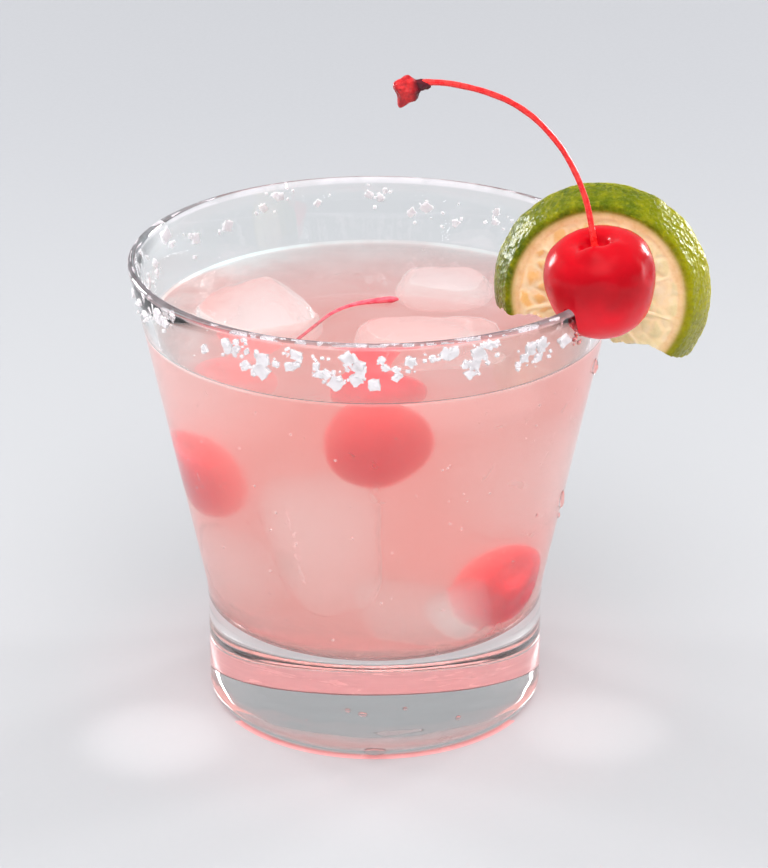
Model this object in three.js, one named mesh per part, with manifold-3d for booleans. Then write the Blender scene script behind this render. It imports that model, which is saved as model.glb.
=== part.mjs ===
// A pink margarita in its old-fashioned glass, with a salted rim, ice, a slice of lime and two cherries.
// Millimetres, +Z up. The origin is the centre of the flat underside of the glass.
// The garnish stands on the +X side of the rim, a little towards -Y, which is the side that faces the viewer.

import * as THREE from 'three';
import { mergeVertices } from 'three/addons/utils/BufferGeometryUtils.js';
import Module from 'manifold-3d';

const wasm = await Module();
wasm.setup();

// Glass
const RIM_RADIUS = 46;
const GLASS_HEIGHT = 89.5;
const BASE_RADIUS = 32.4;
const TAPER_START = 22.6;        // height where the straight base turns into the flared wall
const TAPER_BLEND = 3;           // half height of the soft bend there
const FOOT_ROUNDING = 3;
const RIM_WALL = 1.8;
const FLOOR_WALL = 2.5;          // thickness of the wall beside the floor
const FLOOR_HEIGHT = 19.6;       // top of the heavy base
const FLOOR_ROUNDING = 4;
const WALL_RING = 58;            // height of the ring of points halfway up the wall
const ROUND_SEGMENTS = 60;

// Drink
const GAP = 0.3;                 // clear space between pieces that touch
const DRINK_LEVEL = 76.7;
const MENISCUS_RISE = 0.6;
const MENISCUS_WIDTH = 1.6;

// Salt, stuck to the outside of the wall below the rim
const SALT_THICKNESS = 0.8;
const SALT_SMALLEST = 1.1;
const SALT_LARGEST = 2.5;

// Lime slice, hung on the rim by a slit
const LIME_AZIMUTH = -9.5;       // degrees round the glass from +X
const LIME_LEAN = 7;             // degrees that the slice leans back
const LIME_INWARD = 3.6;         // from the rim in to the slice's centre
const LIME_DROP = 5;             // from the rim down to the slice's centre
const LIME_FRONT_RADIUS = 17.3;
const LIME_BACK_RADIUS = 20.4;
const LIME_THICKNESS = 7;

// Cherry on the rim
const CHERRY_CENTRE = new THREE.Vector3(40.7, -22, 91.6);
const CHERRY_RADIUS = 10.1;
const CHERRY_TILT = 10;          // degrees that its top leans inwards
const CHERRY_NOD = 8;            // degrees that its top leans to the viewer
const STEM_RADIUS = 0.6;

const rimWallOuter = (z) =>
  BASE_RADIUS + (RIM_RADIUS - BASE_RADIUS) * (z - TAPER_START) / (GLASS_HEIGHT - TAPER_START);
const wallThickness = (z) =>
  THREE.MathUtils.mapLinear(z, FLOOR_HEIGHT, GLASS_HEIGHT, FLOOR_WALL, RIM_WALL);
const wallInner = (z) => rimWallOuter(z) - wallThickness(z);
const degrees = THREE.MathUtils.degToRad;

// One seeded row of draws between 0 and 1, the same on every run
function draws(seed) {
  let state = seed;
  return () => {
    state = (Math.imul(state, 1664525) + 1013904223) >>> 0;
    return state / 4294967296;
  };
}

// A closed geometry as a solid: seams and poles merged, faces turned outwards
function solid(geometry) {
  const bare = geometry.clone();
  for (const name of Object.keys(bare.attributes)) {
    if (name !== 'position') bare.deleteAttribute(name);
  }
  const merged = mergeVertices(bare, 1e-4);
  const corners = merged.index.array;
  const faces = [];
  for (let i = 0; i < corners.length; i += 3) {
    const [a, b, c] = corners.slice(i, i + 3);
    if (a !== b && b !== c && c !== a) faces.push(a, b, c);
  }
  const positions = merged.attributes.position;
  const corner = (i) => new THREE.Vector3().fromBufferAttribute(positions, i);
  let volume = 0;
  for (let i = 0; i < faces.length; i += 3) {
    volume += corner(faces[i]).dot(corner(faces[i + 1]).cross(corner(faces[i + 2])));
  }
  if (volume < 0) faces.reverse();
  return new wasm.Manifold(new wasm.Mesh({
    numProp: 3,
    vertProperties: Float32Array.from(positions.array),
    triVerts: Uint32Array.from(faces),
  }));
}

function geometryOf(shape) {
  const mesh = shape.getMesh();
  const geometry = new THREE.BufferGeometry();
  geometry.setAttribute('position', new THREE.BufferAttribute(new Float32Array(mesh.vertProperties), 3));
  geometry.setIndex(new THREE.BufferAttribute(new Uint32Array(mesh.triVerts), 1));
  geometry.computeVertexNormals();
  return geometry;
}

// A turned shape about +Z from its profile of [radius, height] pairs
function turned(profile, segments) {
  const points = profile.map(([radius, height]) => new THREE.Vector2(radius, height));
  return new THREE.LatheGeometry(points, segments).rotateX(Math.PI / 2);
}

// Points of a round corner in a profile, from one angle to another in degrees
function corner(radius, height, round, from, to, steps) {
  const points = [];
  for (let i = 0; i <= steps; i += 1) {
    const angle = degrees(from + (to - from) * i / steps);
    points.push([radius + round * Math.cos(angle), height + round * Math.sin(angle)]);
  }
  return points;
}

// The inner face of the bowl from the centre of the floor up to a height, moved in by a gap
function bowlProfile(top, inset) {
  const wall = wallInner(FLOOR_HEIGHT + FLOOR_ROUNDING);
  const round = FLOOR_ROUNDING - inset;
  return [
    [0, FLOOR_HEIGHT + inset],
    ...corner(wall - FLOOR_ROUNDING, FLOOR_HEIGHT + FLOOR_ROUNDING, round, -90, 0, 4),
    [wallInner(TAPER_START + TAPER_BLEND) - inset, TAPER_START + TAPER_BLEND],
    [wallInner(top) - inset, top],
  ];
}

function glassWithSalt() {
  const bendRadius = rimWallOuter(TAPER_START + TAPER_BLEND);
  const profile = [
    [0, 0],
    ...corner(BASE_RADIUS - FOOT_ROUNDING, FOOT_ROUNDING, FOOT_ROUNDING, -90, 0, 4),
    [BASE_RADIUS, TAPER_START - TAPER_BLEND],
    [(BASE_RADIUS * 3 + bendRadius) / 4, TAPER_START],
    [bendRadius, TAPER_START + TAPER_BLEND],
    [rimWallOuter(WALL_RING), WALL_RING],
    ...corner(RIM_RADIUS - RIM_WALL / 2, GLASS_HEIGHT - RIM_WALL / 2, RIM_WALL / 2, 0, 180, 5),
    ...bowlProfile(WALL_RING, 0).reverse(),
  ];
  let shape = solid(turned(profile, ROUND_SEGMENTS));
  for (const grain of saltGrains()) shape = shape.add(grain);
  return shape;
}

// Clumps of grains as they lie round the rim: azimuth in degrees, drop below the rim, grains, spread
const SALT_CLUMPS = [
  [-147, 4.2, 3, 1.6], [-132, 5.6, 1, 0], [-123, 3.2, 5, 1.9], [-118, 5.6, 5, 2.0], [-112, 5, 1, 0.4],
  [-107, 4.2, 3, 1.8], [-101, 4.6, 4, 1.7], [-99, 7, 2, 1.2], [-95, 3.9, 3, 1.4], [-94.5, 6.4, 2, 1.2],
  [-90, 7.9, 1, 0.2], [-88, 3.8, 2, 1.2], [-86, 5.2, 2, 1.2], [-82, 3.6, 2, 1.2], [-77.5, 3.2, 1, 0.4],
  [-73.5, 1.8, 2, 1.0], [-67, 5.8, 5, 2.0], [-65, 2.4, 6, 2.0], [-53.5, 6, 4, 2.0], [-48, 5.6, 3, 1.4],
  [-41.5, 5.4, 1, 0.2], [-159, 5, 2, 1.4],
];
const SALT_FAR_CLUMPS = 17;      // clumps spread along the far side, from one end of the front row to the other
const SALT_FAR_FROM = 14;
const SALT_FAR_TO = 186;

function saltGrains() {
  const draw = draws(7);
  const clumps = [...SALT_CLUMPS];
  for (let i = 0; i < SALT_FAR_CLUMPS; i += 1) {
    const step = (SALT_FAR_TO - SALT_FAR_FROM) / (SALT_FAR_CLUMPS - 1);
    const azimuth = SALT_FAR_FROM + step * (i + 0.7 * (draw() - 0.5));
    clumps.push([azimuth, 3.6 + 4.4 * draw(), 1 + Math.floor(4 * draw()), 1.9]);
  }
  const grains = [];
  for (const [azimuth, drop, count, spread] of clumps) {
    for (let i = 0; i < count; i += 1) {
      const along = spread * (draw() - 0.5) * 2;
      const down = spread * (draw() - 0.5) * 2;
      grains.push(saltGrain(azimuth + along * 180 / (Math.PI * RIM_RADIUS), Math.max(drop + down, 1.6), draw));
    }
  }
  return grains;
}

// An uneven flake, flat against the wall and half sunk in it
function saltGrain(azimuth, drop, draw) {
  const width = THREE.MathUtils.lerp(SALT_SMALLEST, SALT_LARGEST, draw() ** 1.5);
  const height = width * (0.7 + 0.6 * draw());
  const shape = new THREE.IcosahedronGeometry(0.5, 0);
  shape.rotateX(draw() * Math.PI);
  shape.scale(SALT_THICKNESS + 0.5 * draw(), width, height);
  shape.rotateX(draw() * Math.PI);
  const level = GLASS_HEIGHT - drop;
  shape.translate(rimWallOuter(level) + 0.1, 0, level);
  shape.rotateZ(degrees(azimuth));
  return solid(shape);
}

// The wall below the rim grown by the gap, which cuts the slits of the garnishes
function rimCutter() {
  const low = DRINK_LEVEL - 12;
  const high = GLASS_HEIGHT + GAP;
  const round = RIM_WALL / 2 + GAP;
  const profile = [
    [wallInner(low) - GAP, low],
    [rimWallOuter(low) + GAP, low],
    ...corner(RIM_RADIUS - RIM_WALL / 2, high - round, round, 0, 180, 4),
    [wallInner(low) - GAP, low],
  ];
  return solid(turned(profile, ROUND_SEGMENTS));
}

// A melted block of ice: a rounded box whose faces swell and sink a little
function iceBlock({ centre, size, turn, seed }, grow = 0) {
  const shape = new THREE.BoxGeometry(2, 2, 2, 5, 5, 5);
  const positions = shape.attributes.position;
  const power = 3.4;             // 2 is an ellipsoid, large numbers a sharp box
  const point = new THREE.Vector3();
  for (let i = 0; i < positions.count; i += 1) {
    point.fromBufferAttribute(positions, i);
    const reach = (Math.abs(point.x) ** power + Math.abs(point.y) ** power + Math.abs(point.z) ** power);
    point.multiplyScalar(reach ** (-1 / power));
    const swell = 1 + 0.06 * Math.sin(3.1 * point.x + 2.3 * point.y + seed) * Math.cos(2.7 * point.z - seed);
    point.multiplyScalar(swell);
    positions.setXYZ(i, point.x * (size[0] + grow), point.y * (size[1] + grow), point.z * (size[2] + grow));
  }
  shape.rotateX(degrees(turn[0])).rotateY(degrees(turn[1])).rotateZ(degrees(turn[2]));
  shape.translate(...centre);
  return solid(shape);
}

// Blocks that break the surface: centre, half sizes, turns in degrees
const ICE = {
  ice_left: { centre: [-21.8, 4.9, 69], size: [10.6, 10.8, 11.8], turn: [14, -10, 30], seed: 1 },
  ice_middle: { centre: [10.5, -6, 70.4], size: [14, 9.2, 7.4], turn: [3, 2, 6], seed: 2.4 },
  ice_back: { centre: [13.5, 21, 70.6], size: [9.5, 7.5, 7.4], turn: [4, -5, -12], seed: 4.1 },
};

// A turned shape along +Z bent along a curve: heights become lengths on the curve
function bent(profile, segments, curve, side) {
  const shape = turned(profile, segments);
  const positions = shape.attributes.position;
  const length = curve.getLength();
  const point = new THREE.Vector3();
  for (let i = 0; i < positions.count; i += 1) {
    point.fromBufferAttribute(positions, i);
    const along = THREE.MathUtils.clamp(point.z / length, 0, 1);
    const centre = curve.getPointAt(along);
    const tangent = curve.getTangentAt(along);
    const across = new THREE.Vector3().crossVectors(side, tangent).normalize();
    const out = new THREE.Vector3().crossVectors(tangent, across);
    centre.addScaledVector(across, point.x).addScaledVector(out, point.y);
    centre.addScaledVector(tangent, point.z - along * length);
    positions.setXYZ(i, centre.x, centre.y, centre.z);
  }
  return shape;
}

const curveThrough = (points) => new THREE.CatmullRomCurve3(points.map((p) => new THREE.Vector3(...p)));

// The stem of the cherry that lies in the drink, breaking the surface
const SUNK_STEM_END_RADIUS = 0.95;
const SUNK_STEM_ROUTE = [
  [4.6, 8.4, 77.5], [0.6, 8.2, 77.3], [-4.2, 6.6, 77], [-8.2, 2.4, 76.7], [-12.2, -5.6, 76.2], [-16, -13, 74.9],
];
function sunkStem(grow = 0) {
  const curve = curveThrough(SUNK_STEM_ROUTE);
  const length = curve.getLength();
  const thick = SUNK_STEM_END_RADIUS + grow;
  const thin = STEM_RADIUS + grow;
  const profile = [[0, -grow], [thick * 0.8, -grow], [thick, 0.5], [thick, 4], [thin, 9]];
  for (let along = 12; along < length - 1; along += 3) profile.push([thin, along]);
  profile.push([thin, length + grow], [0, length + grow]);
  return solid(bent(profile, 8, curve, new THREE.Vector3(0, 0, 1)));
}

function drink() {
  const edge = wallInner(DRINK_LEVEL + MENISCUS_RISE) - GAP;
  const profile = [
    ...bowlProfile(DRINK_LEVEL + MENISCUS_RISE, GAP),
    [edge - MENISCUS_WIDTH / 3, DRINK_LEVEL + MENISCUS_RISE * 0.3],
    [edge - MENISCUS_WIDTH, DRINK_LEVEL],
    [0, DRINK_LEVEL],
  ];
  let shape = solid(turned(profile, ROUND_SEGMENTS));
  for (const block of Object.values(ICE)) shape = shape.subtract(iceBlock(block, GAP));
  return shape.subtract(sunkStem(GAP));
}

// The uneven lower cut of the slice, in the slice's own frame about its centre:
// X outwards along the rim's radius, Y up in the slice, +Z towards the viewer
const LIME_CUT_REACH = 26;
const LIME_CUT = [
  [-LIME_CUT_REACH, -3.8], [-12.5, -4], [-8, -4.9], [-3, -5.5], [0.6, -7.4], [3.9, -8.4], [9.5, -8.5], [12.2, -9.4],
  [15, -11.1], [LIME_CUT_REACH, -12.2],
];
function limeSlice() {
  const squares = LIME_FRONT_RADIUS ** 2 + LIME_THICKNESS ** 2 - LIME_BACK_RADIUS ** 2;
  const wholeCentre = squares / (2 * LIME_THICKNESS);
  const wholeRadius = Math.hypot(LIME_BACK_RADIUS, wholeCentre);
  const profile = [[0, 0]];
  const steps = 5;
  for (let i = 0; i <= steps; i += 1) {
    const height = LIME_THICKNESS * i / steps;
    profile.push([Math.sqrt(wholeRadius ** 2 - (height - wholeCentre) ** 2), height]);
  }
  profile.push([LIME_FRONT_RADIUS * 0.5, LIME_THICKNESS], [0, LIME_THICKNESS]);
  const whole = solid(turned(profile, 44).translate(0, 0, -LIME_THICKNESS / 2));
  const below = new THREE.Shape(LIME_CUT.map(([x, y]) => new THREE.Vector2(x, y)));
  below.lineTo(LIME_CUT_REACH, -LIME_CUT_REACH);
  below.lineTo(-LIME_CUT_REACH, -LIME_CUT_REACH);
  const depth = LIME_THICKNESS * 2;
  const cutter = new THREE.ExtrudeGeometry(below, { depth, bevelEnabled: false, steps: 1 });
  const slice = geometryOf(whole.subtract(solid(cutter.translate(0, 0, -depth / 2))));
  slice.applyMatrix4(limePlace());
  return solid(slice).subtract(rimCutter());
}

function limePlace() {
  const azimuth = degrees(LIME_AZIMUTH);
  const lean = degrees(LIME_LEAN);
  const outward = new THREE.Vector3(Math.cos(azimuth), Math.sin(azimuth), 0);
  const level = new THREE.Vector3(Math.sin(azimuth), -Math.cos(azimuth), 0);
  const front = level.multiplyScalar(Math.cos(lean)).add(new THREE.Vector3(0, 0, Math.sin(lean)));
  const up = new THREE.Vector3().crossVectors(front, outward);
  const centre = outward.clone().multiplyScalar(RIM_RADIUS - LIME_INWARD);
  centre.z = GLASS_HEIGHT;
  centre.addScaledVector(up, -LIME_DROP);
  return new THREE.Matrix4().makeBasis(outward, up, front).setPosition(centre);
}

// Cherry profile as shares of its radius, from its foot up and into the hollow where the stem sits
const CHERRY_PROFILE = [
  [0, -0.95], [0.3, -0.92], [0.56, -0.8], [0.79, -0.55], [0.94, -0.2], [1, 0.14], [0.98, 0.42],
  [0.87, 0.68], [0.66, 0.85], [0.46, 0.88], [0.3, 0.79], [0.18, 0.66], [0, 0.62],
];
function cherryPlace() {
  return new THREE.Matrix4()
    .makeTranslation(CHERRY_CENTRE)
    .multiply(new THREE.Matrix4().makeRotationY(degrees(-CHERRY_TILT)))
    .multiply(new THREE.Matrix4().makeRotationX(degrees(CHERRY_NOD)));
}

function cherry() {
  const profile = CHERRY_PROFILE.map(([radius, height]) => [radius * CHERRY_RADIUS, height * CHERRY_RADIUS]);
  const shape = turned(profile, 26).scale(1, 0.97, 1);
  shape.applyMatrix4(cherryPlace());
  return solid(shape).subtract(rimCutter());
}

// The stem rises from the hollow, arches in over the glass and ends in a ragged knob
const KNOB_LENGTH = 4.6;
const STEM_ROUTE = [
  [37.6, -22, 107.6], [34.2, -21.9, 115.4], [30.1, -21.8, 120.9], [25.6, -21.7, 124.7], [20.3, -21.6, 127.3],
  [14.2, -21.6, 128.9], [9.3, -21.6, 129.3], [4, -21.6, 128.3],
];
function cherryStem() {
  const foot = new THREE.Vector3(0, 0, CHERRY_RADIUS * 0.62 + 2 * GAP).applyMatrix4(cherryPlace());
  const curve = curveThrough([foot.toArray(), ...STEM_ROUTE]);
  const length = curve.getLength();
  const knob = length - KNOB_LENGTH;
  const profile = [[0, 0], [STEM_RADIUS * 1.5, 0], [STEM_RADIUS * 1.4, 2], [STEM_RADIUS * 1.15, 5]];
  for (let along = 8; along < knob - 2; along += 2.6) profile.push([STEM_RADIUS, along]);
  profile.push([STEM_RADIUS * 1.1, knob - 0.8], [1.3, knob], [2, knob + 1.3], [1.6, knob + 2.4]);
  profile.push([2.2, knob + 3.6], [1.3, length], [0, length - 0.3]);
  return solid(bent(profile, 10, curve, new THREE.Vector3(0, 1, 0)));
}

const FINISHES = {
  glass: { color: '#eef2f3', roughness: 0.03, metalness: 0, transparent: true, opacity: 0.35 },
  drink: { color: '#f7a9a2', roughness: 0.12, metalness: 0 },
  ice: { color: '#f3dcda', roughness: 0.1, metalness: 0 },
  lime: { color: '#8fae1e', roughness: 0.4, metalness: 0 },
  cherry: { color: '#c4101f', roughness: 0.12, metalness: 0 },
  stem: { color: '#e0252b', roughness: 0.3, metalness: 0 },
};

function piece(name, shape, finish) {
  const mesh = new THREE.Mesh(geometryOf(shape), new THREE.MeshStandardMaterial(FINISHES[finish]));
  mesh.name = name;
  return mesh;
}

const margarita = new THREE.Group();
margarita.add(piece('glass', glassWithSalt(), 'glass'));
margarita.add(piece('drink', drink(), 'drink'));
for (const [name, block] of Object.entries(ICE)) margarita.add(piece(name, iceBlock(block), 'ice'));
margarita.add(piece('sunk_cherry_stem', sunkStem(), 'stem'));
margarita.add(piece('lime_slice', limeSlice(), 'lime'));
margarita.add(piece('cherry', cherry(), 'cherry'));
margarita.add(piece('cherry_stem', cherryStem(), 'stem'));

export default margarita;
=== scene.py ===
import math
from math import atan2, cos, degrees, hypot, pi, radians, sin

import bmesh
import bpy
from mathutils import Euler, Matrix, Vector, noise


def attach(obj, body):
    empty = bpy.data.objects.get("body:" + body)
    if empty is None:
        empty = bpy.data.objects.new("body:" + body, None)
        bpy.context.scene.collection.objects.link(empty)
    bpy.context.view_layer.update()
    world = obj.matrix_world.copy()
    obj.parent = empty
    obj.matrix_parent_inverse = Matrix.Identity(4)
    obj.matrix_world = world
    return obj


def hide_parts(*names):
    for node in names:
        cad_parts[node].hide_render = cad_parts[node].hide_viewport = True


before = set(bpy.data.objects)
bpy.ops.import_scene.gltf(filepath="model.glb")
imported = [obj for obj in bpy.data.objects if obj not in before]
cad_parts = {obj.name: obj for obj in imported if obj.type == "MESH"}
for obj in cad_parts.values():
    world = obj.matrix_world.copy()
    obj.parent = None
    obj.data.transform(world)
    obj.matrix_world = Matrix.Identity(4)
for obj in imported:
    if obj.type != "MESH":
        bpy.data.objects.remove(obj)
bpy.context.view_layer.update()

# Lengths are millimetres until a piece is settled. The origin is the centre of the underside of the glass,
# +Z is up, and the viewer looks along +Y with +X to the right.
MM = 0.001
DARK = (0, 0, 0, 1)
WELD_DISTANCE = 0.0005           # points nearer than this are one
ROD_ROUNDNESS = 5                # extra rows of faces that round a rod

# Glass
RIM_RADIUS = 46
GLASS_HEIGHT = 89.5
BASE_RADIUS = 32.4
TAPER_START = 22.6
TAPER_BLEND = 4
FOOT_ROUNDING = 3
FOOT_HOLLOW = 0.9                # how far the middle of the underside is raised
RIM_WALL = 1.8
FLOOR_WALL = 2.5
FLOOR_HEIGHT = 19.6
FLOOR_ROUNDING = 4
ROUND_STEPS = 200
WAVES_REACH = 25                 # radius within which the underside is wavy
WAVE_HEIGHT = 0.11
WAVE_LENGTH = 6.5
LIP_GLOW = (0.21, 0.18, 0.2, 1)  # painted glow at the lip, for light that runs up inside the wall and leaves it there
LIP_SHADE = (0.13, 0.11, 0.12, 1)     # the same painted glow, fainter, where less of it comes through

# Drink
DRINK_LEVEL = 76.7
PAINTED_SURFACE_SHEEN = (0.2, 0.42, 0.43, 1)   # painted sheen on the surface where it is strongest
WALL_BLUR = 0.22                 # roughness of the drink's sides, which blurs what lies deep in it
CLOUD_DENSITY = 42               # of what scatters light in the drink
CLOUD_FORWARD = 0.72             # how far it scatters forwards
DYE_DENSITY = 9                  # of what takes up light
DYE = (1, 0, 0.1, 1)             # the light that it lets through
DRINK_GLOW = (0.88, 0.4, 0.33, 1)     # stands for light scattered many times in the drink
DRINK_GLOW_STRENGTH = 16
MENISCUS_RISE = 0.6
MENISCUS_WIDTH = 1.7
WALL_OVERLAP = 0.15              # how far the drink reaches into the glass
ICE_OVERLAP = 0.1                # how far the ice reaches into the drink

# Salt
SALT_THICKNESS = 0.8
SALT_SMALLEST = 1.1
SALT_LARGEST = 2.5

# Lime slice
LIME_AZIMUTH = -9.5
LIME_LEAN = 7
LIME_INWARD = 3.6
LIME_DROP = 5
LIME_FRONT_RADIUS = 17.3
LIME_BACK_RADIUS = 20.4
LIME_THICKNESS = 7
SLIT_GAP = 0.3

# Cherry on the rim
CHERRY_CENTRE = Vector((40.7, -22, 91.6))
CHERRY_RADIUS = 10.1
CHERRY_TILT = 10
CHERRY_NOD = 8
CHERRY_PAINTED_LIGHT_BELOW = 94           # painted light below this height, painted shade some way above it
STEM_RADIUS = 0.6


def outer_radius(z):
    return BASE_RADIUS + (RIM_RADIUS - BASE_RADIUS) * (z - TAPER_START) / (GLASS_HEIGHT - TAPER_START)


def inner_radius(z):
    share = (z - FLOOR_HEIGHT) / (GLASS_HEIGHT - FLOOR_HEIGHT)
    return outer_radius(z) - FLOOR_WALL - (RIM_WALL - FLOOR_WALL) * share


def draws(seed):
    """One seeded row of draws between 0 and 1."""
    state = seed
    while True:
        state = (state * 1664525 + 1013904223) % 4294967296
        yield state / 4294967296


# Modelling helpers

def deselect():
    bpy.ops.object.select_all(action="DESELECT")


def take(piece):
    deselect()
    piece.select_set(True)
    bpy.context.view_layer.objects.active = piece


def named(name):
    piece = bpy.context.object
    piece.name = name
    piece.data.name = name
    return piece


def bake_place(piece):
    take(piece)
    bpy.ops.object.transform_apply(location=True, rotation=True, scale=True)
    return piece


def edit(piece):
    take(piece)
    bpy.ops.object.mode_set(mode="EDIT")
    bpy.ops.mesh.select_all(action="SELECT")


def leave_edit():
    bpy.ops.object.mode_set(mode="OBJECT")


def mend(piece):
    """Merges doubles and turns the faces outwards."""
    edit(piece)
    bpy.ops.mesh.remove_doubles(threshold=WELD_DISTANCE)
    bpy.ops.mesh.normals_make_consistent(inside=False)
    leave_edit()
    return piece


def modify(piece, kind, **settings):
    take(piece)
    modifier = piece.modifiers.new(kind.lower(), kind)
    for key, value in settings.items():
        setattr(modifier, key, value)
    bpy.ops.object.modifier_apply(modifier=modifier.name)
    return piece


def carve(piece, tool):
    """Cuts the tool out of the piece, which uses the tool up."""
    modify(piece, "BOOLEAN", operation="DIFFERENCE", solver="EXACT", object=tool)
    bpy.data.objects.remove(tool, do_unlink=True)
    return piece


def join(pieces, name):
    deselect()
    for piece in pieces:
        piece.select_set(True)
    bpy.context.view_layer.objects.active = pieces[0]
    bpy.ops.object.join()
    return named(name)


def twin(piece, name):
    take(piece)
    bpy.ops.object.duplicate()
    return named(name)


def trace(name, points):
    """A chain of edges through the points, drawn out of one vertex."""
    deselect()
    bpy.ops.mesh.primitive_plane_add(size=1, location=points[0])
    line = named(name)
    edit(line)
    bpy.ops.mesh.merge(type="CENTER")
    for start, end in zip(points, points[1:]):
        step = Vector(end) - Vector(start)
        bpy.ops.mesh.extrude_region_move(TRANSFORM_OT_translate={"value": step})
    leave_edit()
    return bake_place(line)


def turn(name, profile, steps=ROUND_STEPS):
    """A closed turned shape about +Z from its profile of radius and height."""
    shape = trace(name, [(radius, 0, height) for radius, height in profile])
    edit(shape)
    bpy.ops.mesh.spin(steps=steps, angle=2 * pi, center=(0, 0, 0), axis=(0, 0, 1))
    leave_edit()
    return mend(shape)


def corner(radius, height, round_off, start, end, steps):
    """Points of a round corner in a profile, from one angle to another in degrees."""
    points = []
    for i in range(steps + 1):
        angle = radians(start + (end - start) * i / steps)
        points.append((radius + round_off * cos(angle), height + round_off * sin(angle)))
    return points


def straight(start, end, steps):
    """Points from start up to, but not at, end."""
    return [tuple(Vector(start).lerp(Vector(end), i / steps)) for i in range(steps)]


def smooth_route(points, steps):
    """A smooth curve through the points, with some steps between each two."""
    knots = [Vector(p) for p in points]
    knots = [2 * knots[0] - knots[1]] + knots + [2 * knots[-1] - knots[-2]]
    route = []
    for a, b, c, d in zip(knots, knots[1:], knots[2:], knots[3:]):
        for i in range(steps):
            t = i / steps
            bend = (2 * a - 5 * b + 4 * c - d) * t ** 2 + (3 * b - a - 3 * c + d) * t ** 3
            route.append(0.5 * (2 * b + (c - a) * t + bend))
    return route + [knots[-2]]


def reshape(piece, move):
    """Moves every vertex by what move(place, normal) gives, as a sculptor's brush does."""
    shape = bmesh.new()
    shape.from_mesh(piece.data)
    shape.normal_update()
    shifts = [move(vertex.co.copy(), vertex.normal.copy()) for vertex in shape.verts]
    for vertex, shift in zip(shape.verts, shifts):
        vertex.co += shift
    shape.to_mesh(piece.data)
    shape.free()
    return piece


def rough(place, size, seed=0):
    """Smooth noise from -1 to 1 with features of that size."""
    return noise.noise(place / size + Vector((seed * 7.3, seed * 3.1, seed * 5.7)))


def rod_along(name, route, radii):
    """A round rod along a route with a radius for each of its points."""
    curve = bpy.data.curves.new(name, "CURVE")
    curve.dimensions = "3D"
    curve.bevel_depth = 1
    curve.bevel_resolution = ROD_ROUNDNESS
    curve.use_fill_caps = True
    spline = curve.splines.new("POLY")
    spline.points.add(len(route) - 1)
    for point, place, radius in zip(spline.points, route, radii):
        point.co = (*place, 1)
        point.radius = radius
    rod = bpy.data.objects.new(name, curve)
    bpy.context.scene.collection.objects.link(rod)
    take(rod)
    bpy.ops.object.convert(target="MESH")
    return mend(named(name))


def smooth(piece, sharp=180):
    """Smooth shading, with edges kept where faces meet at more than sharp degrees."""
    take(piece)
    bpy.ops.object.shade_smooth_by_angle(angle=radians(sharp))
    return piece


def settle(piece, finish, slot, *nodes):
    """A finished piece in metres, with its material and its place in the frame."""
    piece.scale = (MM, MM, MM)
    bake_place(piece)
    piece.data.materials.clear()
    piece.data.materials.append(finish)
    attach(piece, "root")
    if nodes:
        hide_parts(*nodes)
    return piece


# Material helpers

class Value:
    """An output in a node tree. Arithmetic on it adds Math nodes."""

    def __init__(self, finish, socket):
        self.finish = finish
        self.socket = socket

    def maths(self, operation, *values):
        return self.finish.node("ShaderNodeMath", {"operation": operation}, dict(enumerate(values)))

    def __add__(self, other):
        return self.maths("ADD", self, other)

    def __radd__(self, other):
        return self.maths("ADD", other, self)

    def __sub__(self, other):
        return self.maths("SUBTRACT", self, other)

    def __rsub__(self, other):
        return self.maths("SUBTRACT", other, self)

    def __mul__(self, other):
        return self.maths("MULTIPLY", self, other)

    def __rmul__(self, other):
        return self.maths("MULTIPLY", other, self)

    def clamped(self):
        return self.maths("MINIMUM", self.maths("MAXIMUM", self, 0), 1)


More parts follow.
